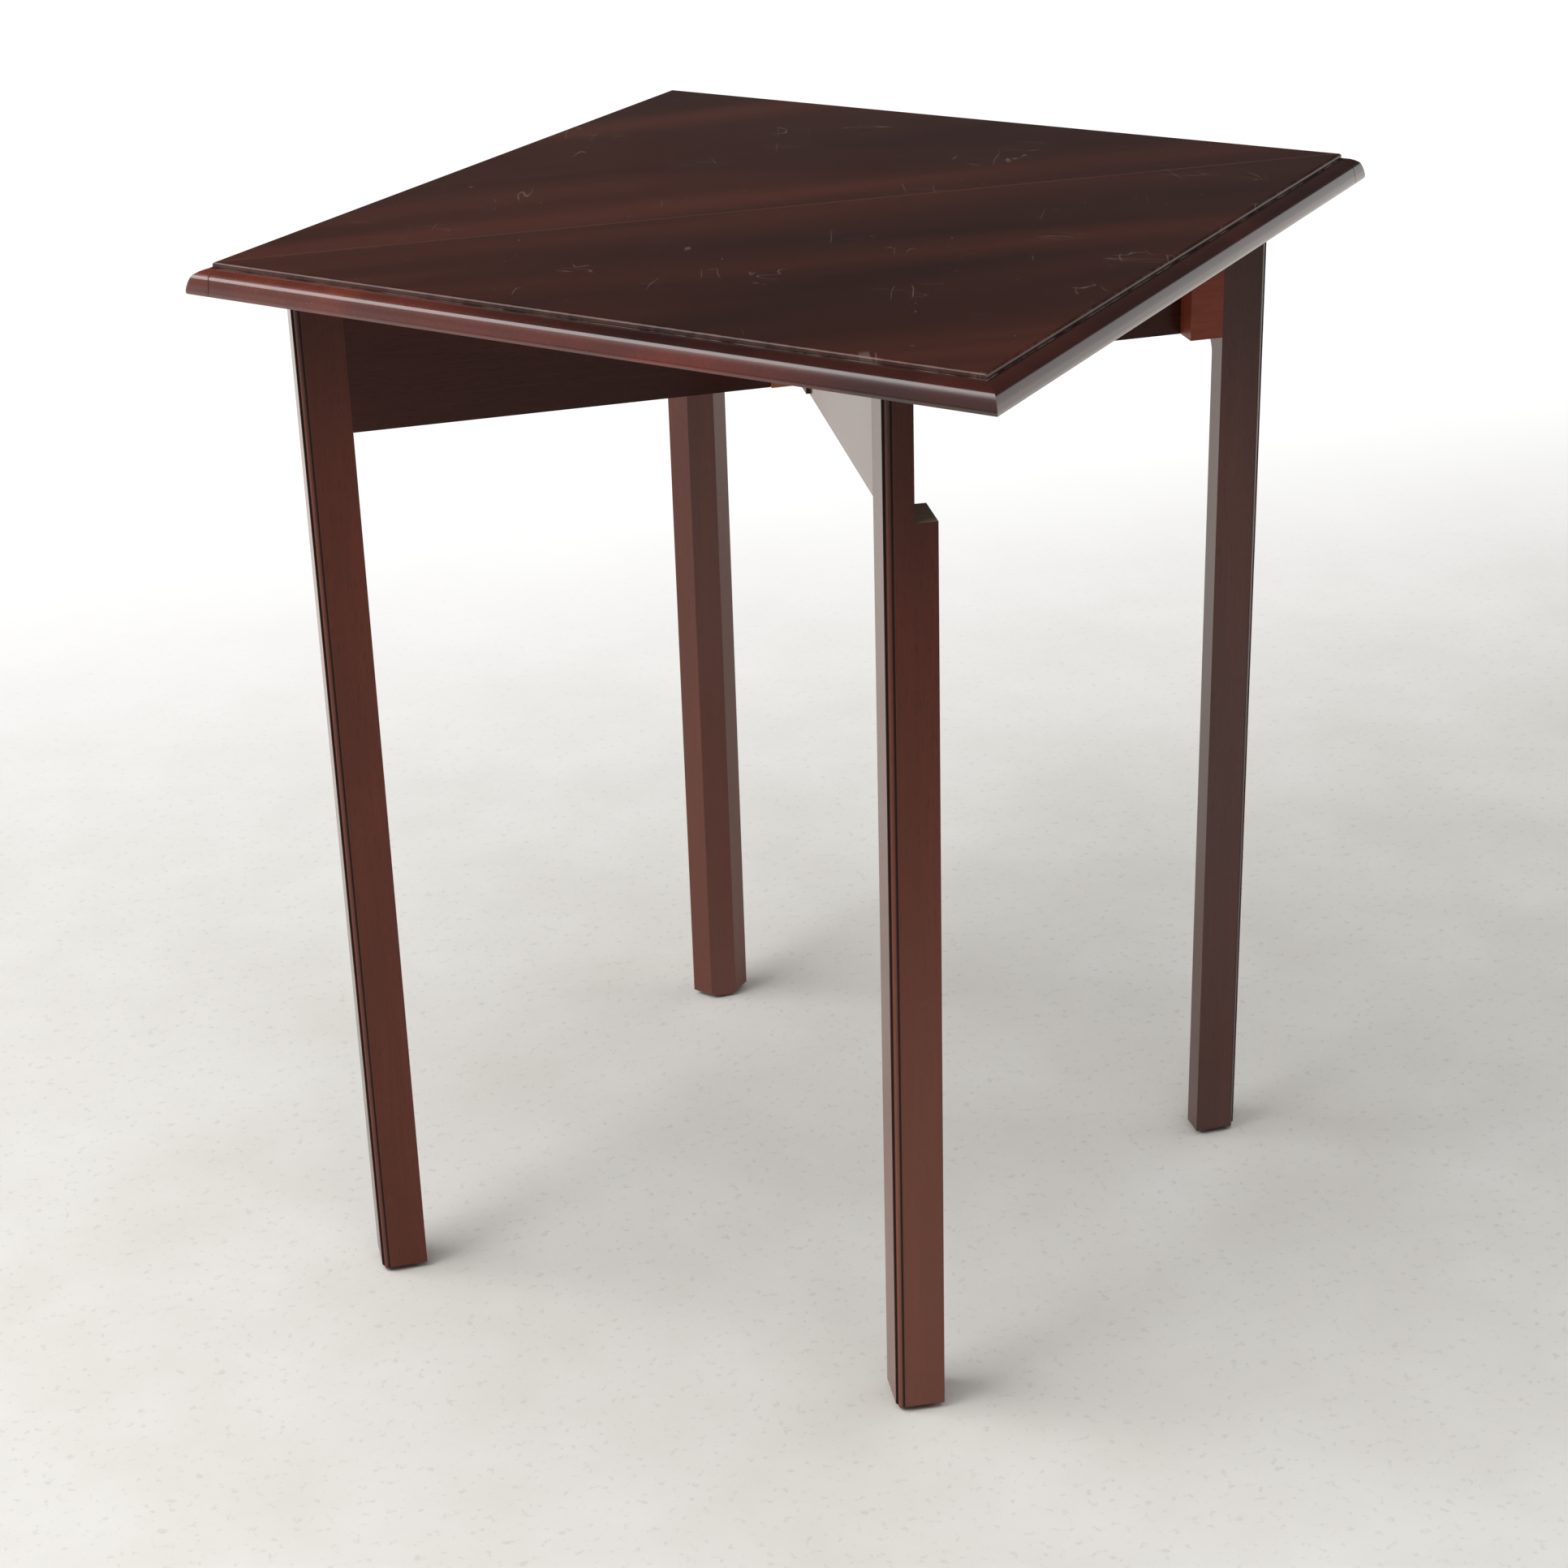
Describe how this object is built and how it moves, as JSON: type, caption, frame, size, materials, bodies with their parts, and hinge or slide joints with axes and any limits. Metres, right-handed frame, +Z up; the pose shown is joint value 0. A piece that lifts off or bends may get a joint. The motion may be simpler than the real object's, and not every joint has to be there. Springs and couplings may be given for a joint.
{
  "type": "handkerchief table",
  "caption": "Dark mahogany handkerchief table: square top cut on its diagonal into a fixed triangle and a rule-jointed drop leaf, held up by a leg on a swinging wooden-knuckle gate.",
  "frame": {"origin": "on the floor under the centre of the square top", "axes": "+X along the hinge line toward the stop block, -Y toward the leaf's corner, +Z up"},
  "size_m": [0.747, 0.747, 0.723],
  "materials": {
    "top_mahogany": "polished",
    "leg_mahogany": "polished",
    "rail_mahogany": "polished",
    "red_hardwood": "oiled",
    "raw_wood": "raw",
    "brass_hinge": "aged",
    "steel_hardware": "dull",
    "glide_pad": "matte"
  },
  "bodies": {
    "frame": {"fixed_top": "top_mahogany", "left_leg": "leg_mahogany", "right_leg": "leg_mahogany", "back_leg": "leg_mahogany", "left_side_rail": "rail_mahogany", "right_side_rail": "rail_mahogany", "inner_rail": "rail_mahogany", "fly_rail": "rail_mahogany", "fixed_knuckle": "red_hardwood", "stop_block": "red_hardwood", "knuckle_pin": "steel_hardware", "glue_block_left_front": "raw_wood", "glue_block_left_back": "raw_wood", "glue_block_right_front": "raw_wood", "glue_block_right_back": "raw_wood", "left_hinge_top_plate": "brass_hinge", "left_hinge_pin": "brass_hinge", "right_hinge_top_plate": "brass_hinge", "right_hinge_pin": "brass_hinge", "frame_glides": "glide_pad"},
    "leaf": {"leaf": "top_mahogany", "left_hinge_leaf_plate": "brass_hinge", "right_hinge_leaf_plate": "brass_hinge"},
    "gate": {"gate_leg": "leg_mahogany", "gate_rail": "rail_mahogany", "gate_knuckle": "red_hardwood", "gate_glide": "glide_pad"}
  },
  "joints": [
    {"name": "gate_swing", "type": "hinge", "parent": "frame", "child": "gate", "pos_m": [0.009, 0.015, 0], "axis": [0, 0, 1], "range_deg": [0, 94.5]},
    {"name": "leaf_hinge", "type": "hinge", "parent": "frame", "child": "leaf", "pos_m": [0, 0, 0.708], "axis": [-1, 0, 0], "range_deg": [0, 1.5]}
  ]
}
